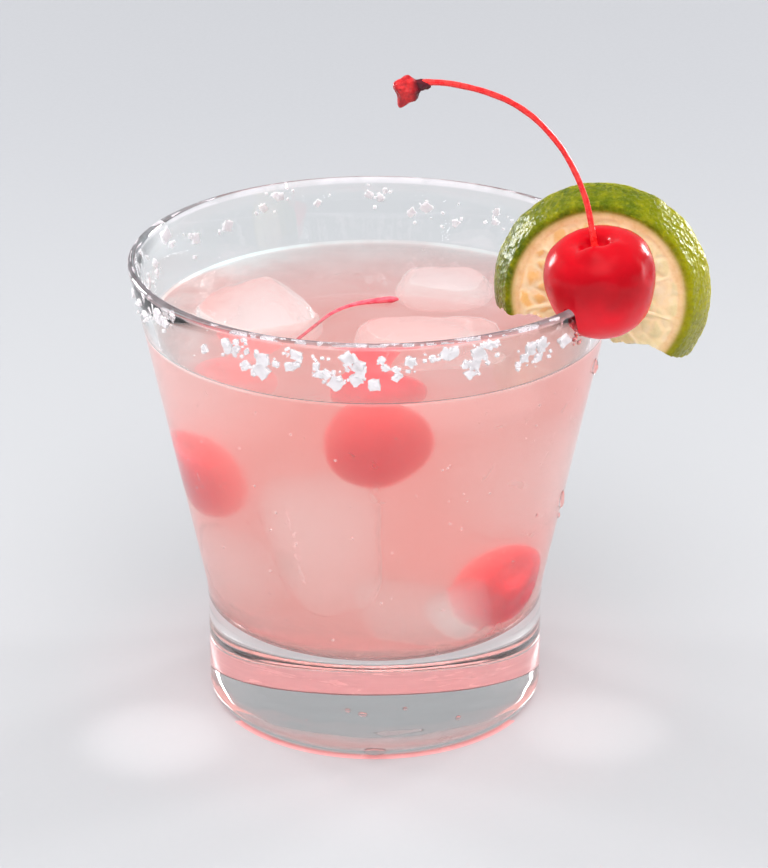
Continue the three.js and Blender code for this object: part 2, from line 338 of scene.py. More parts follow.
class Finish:
    """A material whose shader is a Principled BSDF."""

    def __init__(self, name, **constants):
        self.material = bpy.data.materials.new(name)
        self.material.use_nodes = True
        self.tree = self.material.node_tree
        self.shader = self.tree.nodes["Principled BSDF"]
        self.output = self.tree.nodes["Material Output"]
        for key, value in constants.items():
            self.shader.inputs[key.replace("_", " ")].default_value = value

    def put(self, socket, value):
        if isinstance(value, Value):
            self.tree.links.new(value.socket, socket)
        else:
            socket.default_value = value

    def node(self, kind, settings=None, inputs=None, output=0):
        """Adds a node: its settings first, then the values or links of its sockets."""
        node = self.tree.nodes.new(kind)
        for key, value in (settings or {}).items():
            setattr(node, key, value)
        for key, value in (inputs or {}).items():
            self.put(node.inputs[key], value)
        return Value(self, node.outputs[output])

    def place(self, centre=(0, 0, 0), turned=(0, 0, 0), unit=MM):
        """Object coordinates in millimetres, about a centre and turned with the piece."""
        here = self.node("ShaderNodeTexCoord", output="Object")
        return self.node("ShaderNodeMapping", {"vector_type": "TEXTURE"}, {
            "Vector": here, "Location": centre, "Rotation": turned, "Scale": (unit, unit, unit)})

    def axis(self, place, name):
        return self.node("ShaderNodeSeparateXYZ", inputs={0: place}, output=name)

    def noise(self, place, size, detail=3, roughness=0.5, distortion=0):
        return self.node("ShaderNodeTexNoise", inputs={
            "Vector": place, "Scale": 1 / size, "Detail": detail, "Roughness": roughness,
            "Distortion": distortion})

    def cells(self, place, size):
        """The distance to the nearest of scattered points that lie about size apart."""
        return self.node("ShaderNodeTexVoronoi", {"feature": "F1"},
                         {"Vector": place, "Scale": 1 / size}, "Distance")

    def step(self, value, low, high, out_low=0.0, out_high=1.0):
        """A smooth step of value from low to high."""
        return self.node("ShaderNodeMapRange", {"interpolation_type": "SMOOTHSTEP"}, {
            "Value": value, "From Min": low, "From Max": high, "To Min": out_low, "To Max": out_high})

    def attribute(self, name):
        return self.node("ShaderNodeAttribute", {"attribute_name": name}, output="Fac")

    def mix(self, share, first, second):
        """A colour between two colours."""
        return self.node("ShaderNodeMix", {"data_type": "RGBA"}, {0: share, 6: first, 7: second}, 2)

    def bump(self, height, strength, distance, under=None):
        inputs = {"Height": height, "Strength": strength, "Distance": distance * MM}
        if under is not None:
            inputs["Normal"] = under
        return self.node("ShaderNodeBump", inputs=inputs)

    def surface(self, **links):
        for key, value in links.items():
            self.put(self.shader.inputs[key.replace("_", " ")], value)
        return self.material


def colour(red, green, blue):
    """A colour from its values out of 255 as seen on a screen."""
    values = []
    for value in (red, green, blue):
        share = value / 255
        values.append(share / 12.92 if share <= 0.04045 else ((share + 0.055) / 1.055) ** 2.4)
    return (*values, 1)


# Glass

def bowl(top, inset, steps=14):
    """The inner face of the bowl from the centre of the floor up to a height, moved in by inset."""
    wall = inner_radius(FLOOR_HEIGHT + FLOOR_ROUNDING)
    low = FLOOR_HEIGHT + FLOOR_ROUNDING
    points = straight((0, FLOOR_HEIGHT + inset), (wall - FLOOR_ROUNDING, FLOOR_HEIGHT + inset), 6)
    points += corner(wall - FLOOR_ROUNDING, low, FLOOR_ROUNDING - inset, -90, 0, 12)
    points += straight((inner_radius(low + 2) - inset, low + 2), (inner_radius(top) - inset, top), steps)
    return points + [(inner_radius(top) - inset, top)]


def glass_finish():
    glass = Finish("clear_glass", Transmission_Weight=1, IOR=1.5, Base_Color=(0.975, 0.99, 0.985, 1),
                   Emission_Strength=1)
    place = glass.place()
    # Painted glow on the lip only, in brighter and fainter patches.
    lip = glass.step(glass.axis(place, "Z"), GLASS_HEIGHT - 1.3, GLASS_HEIGHT - 0.8)
    uneven = glass.step(glass.noise(place, 5, 3), 0.38, 0.58)
    smears = glass.noise(place, 22, 4, 0.6)
    ripple = glass.noise(place, 14, 1)
    return glass.surface(
        Roughness=glass.step(smears, 0.45, 0.75, 0.0, 0.02),
        Emission_Color=glass.mix(lip, DARK, glass.mix(uneven, LIP_SHADE, LIP_GLOW)),
        Normal=glass.bump(ripple, 0.2, 0.05))


def underside_wave(place, normal):
    """The slight waves that the mould leaves in the hollow of the foot."""
    inside = ease(WAVES_REACH - hypot(place.x, place.y), 0, 5) * ease(1.5 - place.z, 0, 0.4)
    return Vector((0, 0, WAVE_HEIGHT * inside * rough(place, WAVE_LENGTH, 14)))


def glass():
    foot = BASE_RADIUS - FOOT_ROUNDING
    profile = straight((0, FOOT_HOLLOW), (8, FOOT_HOLLOW), 6) + straight((8, FOOT_HOLLOW), (16, 0.85), 6)
    profile += straight((16, 0.85), (21, 0.7), 4) + [(21, 0.7), (24.5, 0.42), (26.6, 0.14), (28, 0)]
    profile += corner(foot, FOOT_ROUNDING, FOOT_ROUNDING, -90, 0, 12)
    low = TAPER_START - TAPER_BLEND
    high = TAPER_START + TAPER_BLEND
    profile += straight((BASE_RADIUS, 6), (BASE_RADIUS, low), 4)
    start = Vector((BASE_RADIUS, low))
    bend = Vector((BASE_RADIUS, TAPER_START))
    end = Vector((outer_radius(high), high))
    for i in range(9):
        t = i / 8
        profile.append(tuple((1 - t) ** 2 * start + 2 * t * (1 - t) * bend + t ** 2 * end))
    lip = RIM_WALL / 2
    top = GLASS_HEIGHT - lip
    profile += straight((outer_radius(high + 4), high + 4), (outer_radius(top), top), 14)
    profile += corner(RIM_RADIUS - lip, top, lip, 0, 180, 14)
    profile += reversed(bowl(top - 1, 0))
    tumbler = reshape(turn("tumbler", profile), underside_wave)
    settle(smooth(tumbler, 40), glass_finish(), "glass", "glass")


# Salt

# Clumps of grains as they lie round the rim: azimuth in degrees, drop below the rim, grains, spread
SALT_CLUMPS = [
    (-147, 4.2, 3, 1.6), (-132, 5.6, 1, 0), (-123, 3.2, 5, 1.9), (-118, 5.6, 5, 2.0), (-112, 5, 1, 0.4),
    (-107, 4.2, 3, 1.8), (-101, 4.6, 4, 1.7), (-99, 7, 2, 1.2), (-95, 3.9, 3, 1.4), (-94.5, 6.4, 2, 1.2),
    (-90, 7.9, 1, 0.2), (-88, 3.8, 2, 1.2), (-86, 5.2, 2, 1.2), (-82, 3.6, 2, 1.2), (-77.5, 3.2, 1, 0.4),
    (-73.5, 1.8, 2, 1.0), (-67, 5.8, 5, 2.0), (-65, 2.4, 6, 2.0), (-53.5, 6, 4, 2.0), (-48, 5.6, 3, 1.4),
    (-41.5, 5.4, 1, 0.2), (-159, 5, 2, 1.4),
]
SALT_FAR_CLUMPS = 17
SALT_FAR_FROM = 14
SALT_FAR_TO = 186
SALT_CRUMBS = 2                  # small crystals for each large one
# Painted glow that lightens the near grains
SALT_GLOW = (0.12, 0.117, 0.118, 1)
SALT_FAR_GLOW = (0.27, 0.27, 0.28, 1)     # painted glow, stronger on the far grains, which look paler through the glass


def salt_finish():
    salt = Finish("salt", IOR=1.5, Subsurface_Weight=0.7, Subsurface_Scale=0.0016,
                  Subsurface_Radius=(1, 0.95, 0.95), Emission_Strength=1)
    place = salt.place()
    # Painted glow, stronger on the far grains.
    far = salt.step(salt.axis(place, "Y"), -5, 15)
    cloudy = salt.noise(place, 0.9, 4)
    return salt.surface(
        Base_Color=salt.mix(cloudy, colour(214, 206, 210), colour(232, 230, 234)),
        Emission_Color=salt.mix(far, SALT_GLOW, SALT_FAR_GLOW),
        Roughness=salt.step(cloudy, 0.3, 0.7, 0.25, 0.5),
        Normal=salt.bump(salt.noise(place, 0.25, 3), 0.5, 0.1))


def on_wall(grain, azimuth, drop, stand):
    """Sets a grain made at the origin on the outside of the wall."""
    level = GLASS_HEIGHT - drop
    grain.location = (outer_radius(level) + stand, 0, level)
    bake_place(grain)
    grain.rotation_euler = (0, 0, radians(azimuth))
    return bake_place(grain)


def salt_crumb(azimuth, drop, draw):
    """A small sharp crystal beside the large ones."""
    size = 0.3 + 0.4 * next(draw)
    deselect()
    turned = [next(draw) * pi for _ in range(3)]
    bpy.ops.mesh.primitive_cube_add(size=size, rotation=turned, scale=(0.8, 1, 0.7 + 0.6 * next(draw)))
    return on_wall(bake_place(named("crumb")), azimuth, drop, 0.2)


def salt_grain(azimuth, drop, draw):
    """A chipped crystal, flat against the wall and half sunk in it."""
    width = SALT_SMALLEST + (SALT_LARGEST - SALT_SMALLEST) * next(draw) ** 1.5
    height = width * (0.7 + 0.6 * next(draw))
    lie = next(draw) * pi
    thick = SALT_THICKNESS + 0.5 * next(draw)
    spin = next(draw) * pi
    deselect()
    bpy.ops.mesh.primitive_cube_add(size=1, rotation=(lie, 0, 0))
    grain = bake_place(named("grain"))
    edit(grain)
    bpy.ops.mesh.subdivide(number_cuts=3)
    leave_edit()
    reshape(grain, lambda place, normal: normal * 0.3 * rough(place, 0.4, azimuth + drop))
    grain.scale = (thick * 0.9, width * 0.85, height * 0.85)
    bake_place(grain)
    grain.rotation_euler = (spin, 0, 0)
    return on_wall(bake_place(grain), azimuth, drop, 0.1)


def salt():
    draw = draws(7)
    clumps = list(SALT_CLUMPS)
    for i in range(SALT_FAR_CLUMPS):
        step = (SALT_FAR_TO - SALT_FAR_FROM) / (SALT_FAR_CLUMPS - 1)
        azimuth = SALT_FAR_FROM + step * (i + 0.7 * (next(draw) - 0.5))
        drop = 3.6 + 4.4 * next(draw)
        clumps.append((azimuth, drop, 1 + math.floor(4 * next(draw)), 1.9))
    grains = []
    for azimuth, drop, count, spread in clumps:
        for _ in range(count):
            along = degrees(spread * (next(draw) - 0.5) * 2 / RIM_RADIUS)
            down = spread * (next(draw) - 0.5) * 2
            grains.append(salt_grain(azimuth + along, max(drop + down, 1.6), draw))
    scatter = draws(23)
    for azimuth, drop, count, spread in clumps:
        for _ in range(count * SALT_CRUMBS):
            along = degrees((spread + 1) * (next(scatter) - 0.5) * 2 / RIM_RADIUS)
            down = (spread + 0.8) * (next(scatter) - 0.5) * 2
            grains.append(salt_crumb(azimuth + along, max(drop + down, 1.4), scatter))
    settle(smooth(join(grains, "salt_grains"), 20), salt_finish(), "salt", "glass")


# Ice

SURFACE_ICE = {"ice_left": 1, "ice_middle": 2, "ice_back": 3}

# Blocks wholly under the surface: centre, half sizes, turns in degrees
SUNK_ICE = {
    "sunk_ice_front": ((-8.2, -22, 43), (10.2, 9, 14.8), (4, -9, 12)),
    "sunk_ice_right": ((20, 2, 49), (12.5, 13, 12.5), (10, 8, 24)),
    "sunk_ice_low": ((9.4, -19.6, 27), (14.2, 7.5, 6.4), (-8, 16, 8)),
    "sunk_ice_chip": ((14.8, -20.6, 27.6), (6.2, 4.6, 6), (14, -28, 18)),
    "sunk_ice_left": ((-20, -6, 31), (8.5, 9, 9), (12, 14, 35)),
    "sunk_ice_back": ((-6, 16, 40), (12, 10, 13), (20, 5, 50)),
}
WHITE_BLOCKS = ["sunk_ice_chip"]
# Kinds of ice: optical density against what is round it, painted white glow inside it, painted shine of
# the skin
CLEAR_ICE = (1.322, 6, 0.13)
HAZY_ICE = (1.03, 9, 0)
WHITE_ICE = (1.04, 20, 0)
ICE_HAZE_GLOW = (0.12, 1, 1, 1)
MELT_GRAIN = 0.55                # edge length of the ice's mesh
ICE_TAPER = 0.24                 # how much narrower a sunk block is at its lower end


def ice_finish(name, density, painted_haze_glow, shine):
    """Ice of an optical density against what is round it, with a painted white glow inside it and a
    painted shine on its skin.
    """
    ice = Finish(name, Transmission_Weight=1, IOR=density, Base_Color=(1, 0.98, 0.98, 1),
                 Emission_Color=(1, 0.88, 0.88, 1), Emission_Strength=shine)
    place = ice.place()
    melt = ice.noise(place, 5, 4, 0.55)
    glow = ice.node("ShaderNodeEmission", inputs={"Color": ICE_HAZE_GLOW, "Strength": painted_haze_glow})
    ice.put(ice.output.inputs["Volume"], glow)
    return ice.surface(Roughness=ice.step(melt, 0.35, 0.7, 0.02, 0.16),
                       Normal=ice.bump(ice.noise(place, 2.6, 5, 0.6), 0.5, 0.3))


def melt(block, seed):
    """Rounds a block and wears shallow hollows into it."""
    modify(block, "REMESH", mode="VOXEL", voxel_size=MELT_GRAIN)
    modify(block, "SMOOTH", factor=0.5, iterations=6)
    return reshape(block, lambda place, normal: normal * (
        0.45 * rough(place, 7, seed) + 0.16 * rough(place, 2.6, seed + 5) - 0.1))


def surface_block(node, seed):
    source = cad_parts[node]
    block = bpy.data.objects.new(node + "_melted", source.data.copy())
    bpy.context.scene.collection.objects.link(block)
    block.matrix_world = source.matrix_world
    bake_place(block)
    block.scale = (1 / MM, 1 / MM, 1 / MM)
    bake_place(block)
    mend(block)
    return melt(block, seed)


def sunk_block(name, centre, half, turned, seed):
    deselect()
    bpy.ops.mesh.primitive_cube_add(size=2, scale=half)
    block = bake_place(named(name))
    edit(block)
    bpy.ops.mesh.bevel(offset=min(half) * 0.8, segments=8, affect="EDGES")
    leave_edit()
    reshape(block, lambda place, normal: Vector((-place.x, -place.y, 0)) * (
        ICE_TAPER * ease(-place.z / half[2], -0.5, 1)))
    block.rotation_euler = [radians(angle) for angle in turned]
    block.location = centre
    return melt(mend(bake_place(block)), seed)


def inside_bowl(name, inset):
    """The room in the bowl, a little smaller than the glass."""
    profile = bowl(DRINK_LEVEL - 0.4, inset) + [(0, DRINK_LEVEL - 0.4)]
    return turn(name, profile, 96)


# Drink

def drink_finish():
    drink = Finish("pink_drink", Transmission_Weight=1, IOR=1.34, Base_Color=(1, 0.86, 0.84, 1),
                   Emission_Strength=1)
    place = drink.place()
    swirl = drink.noise(place, 6, 2, 0.5, 1.2)
    cloud = drink.node("ShaderNodeVolumeScatter", inputs={
        "Color": (1, 1, 1, 1), "Density": CLOUD_DENSITY, "Anisotropy": CLOUD_FORWARD})
    dye = drink.node("ShaderNodeVolumeAbsorption", inputs={"Color": DYE, "Density": DYE_DENSITY})
    glow = drink.node("ShaderNodeEmission", inputs={
        "Color": DRINK_GLOW, "Strength": DRINK_GLOW_STRENGTH})
    mixed = drink.node("ShaderNodeAddShader", inputs={0: cloud, 1: dye})
    mixed = drink.node("ShaderNodeAddShader", inputs={0: mixed, 1: glow})
    drink.put(drink.output.inputs["Volume"], mixed)
    # Painted sheen on the top surface only, stronger towards the back and the left, patchy by noise.
    top = drink.step(drink.axis(place, "Z"), DRINK_LEVEL - 0.3, DRINK_LEVEL - 0.1)
    back = drink.step(drink.axis(place, "Y"), -20, 38, 0.6, 1)
    left = drink.step(drink.axis(place, "X"), -36, -10, 0.95, 0.3)
    painted_sheen = top * back * left * drink.step(drink.noise(place, 9, 3, 0.6), 0.25, 0.75, 0.6, 1.2)
    cloudiness = drink.step(swirl, 0.4, 0.8, WALL_BLUR, WALL_BLUR + 0.06) * (1 - top)
    return drink.surface(Roughness=cloudiness + top * drink.step(swirl, 0.4, 0.8, 0.0, 0.03),
                         Emission_Color=drink.mix(painted_sheen.clamped(), DARK, PAINTED_SURFACE_SHEEN),
                         Normal=drink.bump(swirl, 0.15, 0.2))


def drink(hollows):
    """The liquid, cut round the blocks of ice and the stem that lie in it."""
    edge = inner_radius(DRINK_LEVEL + MENISCUS_RISE) + WALL_OVERLAP
    profile = bowl(DRINK_LEVEL + MENISCUS_RISE, -WALL_OVERLAP)
    for i in range(1, 9):
        share = i / 8
        profile.append((edge - MENISCUS_WIDTH * share, DRINK_LEVEL + MENISCUS_RISE * (1 - share) ** 2.2))
    profile += straight((edge - 5, DRINK_LEVEL), (0, DRINK_LEVEL), 12)
    profile.append((0, DRINK_LEVEL))
    liquid = turn("pink_liquid", profile)
    for hollow in hollows:
        tool = twin(hollow, "hollow")
        reshape(tool, lambda place, normal: normal * -ICE_OVERLAP)
        carve(liquid, tool)
    settle(smooth(liquid, 40), drink_finish(), "drink", "drink")


# Cherries

# Cherry profile as shares of its radius, from its foot up and into the hollow where the stem sits
CHERRY_PROFILE = [
    (0, -0.95), (0.3, -0.92), (0.56, -0.8), (0.79, -0.55), (0.94, -0.2), (1, 0.14), (0.98, 0.42),
    (0.87, 0.68), (0.66, 0.86), (0.46, 0.91), (0.29, 0.86), (0.18, 0.72), (0, 0.64),
]

# Skin colours: the light patches, the dark ones, which also paint shade on the top, and the painted light
# on the part below
CHERRY_COLOURS = (colour(194, 0, 20), colour(172, 0, 14), colour(255, 22, 42))
STEEPED_COLOURS = (colour(240, 0, 34), colour(214, 0, 26), colour(246, 6, 38))
# Strength of a painted glow on the skins, and the height below which the cherries in the drink get painted
# light
CHERRY_GLOW = 0.05
STEEPED_GLOW = 0.32
STEEPED_PAINTED_LIGHT_BELOW = 30

# Cherries in the drink: centre, radius, tilt
SUNK_CHERRIES = [
    ((-26.4, -4.6, 49.8), 8.4, (20, -30, 0)),
    ((0.2, -24, 64.3), 8.6, (-30, 40, 10)),
    ((19.5, -10.2, 28.6), 8.5, (60, 20, 30)),
]


def cherry_body(name, radius, steps=120):
    rings = smooth_route([(share * radius, height * radius) for share, height in CHERRY_PROFILE], 5)
    return turn(name, [(max(point.x, 0), point.y) for point in rings], steps)


def cherry_finish(name, light, dark, painted_light_red, glow, painted_light_below):
    """Cherry skin with a faint painted glow, painted light below a height and painted shade well above it.
    """
    flesh = Finish(name, IOR=1.34, Subsurface_Weight=0.12, Subsurface_Scale=0.002,
                   Subsurface_Radius=(1, 0.12, 0.12), Emission_Color=(1, 0.02, 0.06, 1),
                   Emission_Strength=glow)
    place = flesh.place()
    patches = flesh.noise(place, 6, 3, 0.55)
    specks = flesh.noise(place, 0.7, 2)
    height = flesh.axis(place, "Z")
    # Painted light: below the height the skin turns to its lighter colour.
    low = flesh.step(height, painted_light_below - 9, painted_light_below, 1, 0)
    # Painted shade: above the height only the dark colour is left.
    high = flesh.step(height, painted_light_below, painted_light_below + 8, 1, 0)
    depth = flesh.step(patches + 0.12 * specks, 0.42, 0.78) * high
    return flesh.surface(Base_Color=flesh.mix(low, flesh.mix(depth, dark, light), painted_light_red),
                         Roughness=flesh.step(patches, 0.3, 0.7, 0.14, 0.24),
                         Normal=flesh.bump(flesh.noise(place, 1.6, 3), 0.18, 0.25))


def press(place, centre, reach, depth, direction):
    """How a thumb pressed at centre moves the skin at place."""
    share = max(0, 1 - ((place - centre).length / reach) ** 2)
    return direction * depth * share ** 2


def cherry_place():
    tilt = Matrix.Rotation(radians(-CHERRY_TILT), 4, "Y") @ Matrix.Rotation(radians(CHERRY_NOD), 4, "X")
    return Matrix.Translation(CHERRY_CENTRE) @ tilt


def rim_cutter(low=DRINK_LEVEL - 12):
    """The wall below the rim grown by the gap, which cuts the slits of the garnishes."""
    lip = RIM_WALL / 2 + SLIT_GAP
    profile = [(inner_radius(low) - SLIT_GAP, low), (outer_radius(low) + SLIT_GAP, low)]
    profile += corner(RIM_RADIUS - RIM_WALL / 2, GLASS_HEIGHT + SLIT_GAP - lip, lip, 0, 180, 8)
    profile.append(profile[0])
    return turn("rim_cutter", profile, 160)


# Dents in the skin: place on a cherry of radius 1, reach, depth. A bump has a depth below 0.
CHERRY_DENTS = [
    ((-0.02, -0.93, 0.30), 0.34, 0.045), ((0.12, -0.95, 0.18), 0.2, -0.03),
    ((0.84, -0.42, 0.36), 0.3, 0.05), ((0.62, -0.62, 0.52), 0.26, -0.035),
    ((0.12, -0.95, -0.1), 0.22, 0.035), ((0.4, -0.88, -0.12), 0.3, -0.02),
    ((-0.05, -0.44, 0.9), 0.36, -0.1), ((0.3, -0.3, 0.92), 0.25, -0.04),
    ((-0.7, -0.6, -0.3), 0.4, 0.02), ((0.5, 0.8, 0.2), 0.35, 0.05), ((-0.6, 0.7, -0.1), 0.3, 0.04),
]


def cherry():
    body = cherry_body("rim_cherry", CHERRY_RADIUS)

    def wrinkle(place, normal):
        shift = normal * (0.16 * rough(place, 4.5, 2) + 0.05 * rough(place, 1.7, 4))
        for centre, reach, depth in CHERRY_DENTS:
            shift += press(place, Vector(centre) * CHERRY_RADIUS, reach * CHERRY_RADIUS,
                           -depth * CHERRY_RADIUS, normal)
        return shift

    reshape(body, wrinkle)
    body.scale = (1, 0.97, 1)
    bake_place(body)
    body.matrix_world = cherry_place()
    bake_place(body)
    carve(body, rim_cutter())
    finish = cherry_finish("cherry_red", *CHERRY_COLOURS, CHERRY_GLOW, CHERRY_PAINTED_LIGHT_BELOW)
    settle(smooth(body, 50), finish, "cherry", "cherry")


def sunk_cherries():
    bodies = []
    for number, (centre, radius, tilt) in enumerate(SUNK_CHERRIES):
        body = cherry_body("sunk_cherry", radius, 64)
        reshape(body, lambda place, normal: normal * 0.3 * rough(place, 6, number))
        turned = Euler([radians(angle) for angle in tilt]).to_matrix().to_4x4()
        body.matrix_world = Matrix.Translation(centre) @ turned
        bodies.append(bake_place(body))
    finish = cherry_finish("steeped_cherry", *STEEPED_COLOURS, STEEPED_GLOW, STEEPED_PAINTED_LIGHT_BELOW)
    settle(smooth(join(bodies, "sunk_cherries")), finish, "cherry")


# Stems

STEM_ROUTE = [
    (37.6, -22, 107.6), (34.2, -21.9, 115.4), (30.1, -21.8, 120.9), (25.6, -21.7, 124.7),
    (20.3, -21.6, 127.3), (14.2, -21.6, 128.9), (9.3, -21.6, 129.3), (4, -21.6, 128.3),
]
STEM_SLIMMER = 0.88
KNOB_LENGTH = 4.6
SUNK_STEM_ROUTE = [
    (4.6, 8.4, 77.3), (0.6, 8.2, 77), (-4.2, 6.6, 76.7), (-8.2, 2.4, 76.5), (-12.2, -5.6, 76),
    (-16, -13, 74.9),
]
SUNK_STEM_END_RADIUS = 0.66
SUNK_STEM_RADIUS = 0.42


def stem_finish(name, light, dark):
    stem = Finish(name, Coat_Weight=0.6, Coat_Roughness=0.08, IOR=1.45, Subsurface_Weight=0.3,
                  Subsurface_Scale=0.0015, Subsurface_Radius=(1, 0.15, 0.12))
    place = stem.place()
    fibre = stem.noise(place, 1.3, 4, 0.6)
    return stem.surface(Base_Color=stem.mix(stem.step(fibre, 0.3, 0.7), dark, light),
                        Roughness=stem.step(fibre, 0.3, 0.7, 0.22, 0.38),
                        Normal=stem.bump(stem.noise(place, 0.5, 3), 0.3, 0.1))


def knob_finish():
    knob = Finish("stem_end", Coat_Weight=0.25, Coat_Roughness=0.2)
    place = knob.place()
    torn = knob.noise(place, 1.6, 4, 0.65)
    across = knob.axis(place, "X")
    stained = knob.step(across + 2 * torn, 7.4, 8.6)
    flesh = knob.mix(knob.step(torn, 0.35, 0.65), colour(156, 10, 20), colour(214, 38, 40))
    return knob.surface(Base_Color=knob.mix(stained, flesh, colour(74, 6, 22)),
                        Roughness=knob.step(torn, 0.3, 0.7, 0.3, 0.6),
                        Normal=knob.bump(knob.noise(place, 0.5, 4), 0.6, 0.2))


def route_shares(route):
    """Lengths along the route at its points."""
    lengths = [0]
    for start, end in zip(route, route[1:]):
        lengths.append(lengths[-1] + (end - start).length)
    return lengths


def cherry_stem():
    foot = cherry_place() @ Vector((0, 0, CHERRY_RADIUS * 0.6))
    route = smooth_route([foot] + STEM_ROUTE, 9)
    lengths = route_shares(route)
    whole = lengths[-1]
    route = [p for p, at in zip(route, lengths) if at < whole - 2.2]
    radii = []
    for at in lengths[:len(route)]:
        to_knob = max(0, whole - KNOB_LENGTH - at)
        swell = 0.45 * math.exp(-at / 3.2) + 0.25 * math.exp(-to_knob / 1.6)
        radii.append(STEM_RADIUS * STEM_SLIMMER * (1 + swell + 0.03 * sin(at * 0.9)))
    rod = rod_along("stalk", route, radii)
    reshape(rod, lambda place, normal: normal * 0.05 * rough(place, 1.4, 3))
    finish = stem_finish("stem_red", colour(250, 58, 52), colour(228, 24, 30))
    settle(smooth(rod, 60), finish, "stem", "cherry_stem")


# The torn end of the stem: lobes drawn out of a lump, each a direction, a length and a width
KNOB_CENTRE = Vector((6.2, -21.6, 128.2))
KNOB_RADIUS = 1.95
COLLAR_CENTRE = Vector((8.3, -21.6, 128.9))
COLLAR_SIZE = (1.7, 1.05, 1.05)
KNOB_LOBES = [
    ((-0.95, 0, 0.15), 0.9, 0.4), ((-0.62, -0.3, -0.95), 1.9, 0.22), ((0.15, -0.7, -0.75), 0.6, 0.5),
    ((-0.4, 0.2, 0.9), 0.5, 0.5), ((-0.2, 0.9, -0.3), 0.6, 0.5), ((-0.75, -0.6, 0.1), 0.7, 0.35),
]


def stem_knob():
    deselect()
    bpy.ops.mesh.primitive_ico_sphere_add(subdivisions=5, radius=KNOB_RADIUS)
    knob = named("stem_knob")

    def tear(place, normal):
        shift = normal * (0.28 * rough(place, 0.9, 1) + 0.12 * rough(place, 0.35, 2))
        for direction, length, width in KNOB_LOBES:
            pull = Vector(direction).normalized()
            facing = max(0, (place.normalized().dot(pull) - 1 + width) / width)
            shift += pull * length * facing ** 2
        return shift

    reshape(knob, tear)
    knob.location = KNOB_CENTRE
    bake_place(knob)
    deselect()
    bpy.ops.mesh.primitive_ico_sphere_add(subdivisions=4, radius=1, location=COLLAR_CENTRE,
                                          scale=COLLAR_SIZE)
    collar = bake_place(named("collar"))
    reshape(collar, lambda place, normal: normal * (
        0.3 * rough(place, 0.8, 12) + 0.1 * rough(place, 0.3, 13)))
    settle(smooth(join([knob, collar], "stem_knob"), 60), knob_finish(), "stem", "cherry_stem")


def sunk_stem():
    """The stalk that lies in the surface, thicker at the end that shows."""
    route = smooth_route(SUNK_STEM_ROUTE, 8)
    lengths = route_shares(route)
    radii = []
    for at in lengths:
        share = min(1, max(0, (at - 3) / 7))
        radius = SUNK_STEM_END_RADIUS + (SUNK_STEM_RADIUS - SUNK_STEM_END_RADIUS) * share
        radii.append(radius * min(1, 0.35 + at / 2))
    rod = rod_along("steeped_stalk", route, radii)
    return reshape(rod, lambda place, normal: normal * 0.05 * rough(place, 1.4, 6))


# Lime slice

# The uneven lower cut in the slice's own frame: X outwards along the rim's radius, Y up in the slice
LIME_CUT_REACH = 26
LIME_CUT = [
    (-LIME_CUT_REACH, -3.8), (-12.5, -4), (-8, -4.9), (-3, -5.5), (0.6, -7.4), (3.9, -8.4), (9.5, -8.5),
    (12.2, -9.4), (15, -11.1), (LIME_CUT_REACH, -12.2),
]
CUT_LAYERS = 14                  # layers of faces through the depth of the cut
LIME_SEGMENTS = 9
LIME_RIND = 0.9
LIME_PITH_EDGE = 14.6            # where the flesh ends and the pith begins
LIME_CORE = 1.6
# The whole fruit as a ball through the edges of both faces: its middle from the back face, its radius
WHOLE_HEIGHT = (LIME_FRONT_RADIUS ** 2 + LIME_THICKNESS ** 2
                - LIME_BACK_RADIUS ** 2) / (2 * LIME_THICKNESS)
WHOLE_RADIUS = hypot(LIME_BACK_RADIUS, WHOLE_HEIGHT)
WHOLE_CENTRE = Vector((0, 0, WHOLE_HEIGHT - LIME_THICKNESS / 2))


def lime_place():
    azimuth = radians(LIME_AZIMUTH)
    lean = radians(LIME_LEAN)
    outward = Vector((cos(azimuth), sin(azimuth), 0))
    front = Vector((sin(azimuth), -cos(azimuth), 0)) * cos(lean) + Vector((0, 0, sin(lean)))
    up = front.cross(outward)
    centre = outward * (RIM_RADIUS - LIME_INWARD) + Vector((0, 0, GLASS_HEIGHT)) - up * LIME_DROP
    place = Matrix((outward, up, front)).transposed().to_4x4()
    place.translation = centre
    return place


def lime_cutter():
    """A block below the torn lower cut."""
    draw = draws(11)
    top = []
    for start, end in zip(LIME_CUT, LIME_CUT[1:]):
        steps = max(2, round((end[0] - start[0]) / 0.8))
        for point in straight(start, end, steps):
            top.append((point[0], point[1] + 0.5 * (next(draw) - 0.5), LIME_THICKNESS))
    top.append((LIME_CUT_REACH, LIME_CUT[-1][1], LIME_THICKNESS))
    outline = top + [(LIME_CUT_REACH, -LIME_CUT_REACH, LIME_THICKNESS),
                     (-LIME_CUT_REACH, -LIME_CUT_REACH, LIME_THICKNESS), top[0]]
    block = trace("lime_cutter", outline)
    edit(block)
    bpy.ops.mesh.remove_doubles(threshold=WELD_DISTANCE)
    bpy.ops.mesh.edge_face_add()
    leave_edit()
    edit(block)
    down = (0, 0, -2 * LIME_THICKNESS / CUT_LAYERS)
    for _ in range(CUT_LAYERS):
        bpy.ops.mesh.extrude_region_move(TRANSFORM_OT_translate={"value": down})
    leave_edit()
    mend(block)
    return reshape(block, lambda place, normal: Vector((0, 0.5 * rough(place, 1.3, 8), 0)))


def segment_place(place):
    """Distance in millimetres to the nearest wall between segments, and a number for the segment."""
    angle = atan2(place.y, place.x) / (2 * pi) * LIME_SEGMENTS + 0.35
    angle += 0.16 * sin(2.1 * angle)
    off = abs(angle - round(angle))
    return 2 * pi * off / LIME_SEGMENTS * hypot(place.x, place.y), math.floor(angle + 0.5)


def ease(value, low, high):
    share = min(1, max(0, (value - low) / (high - low)))
    return share * share * (3 - 2 * share)


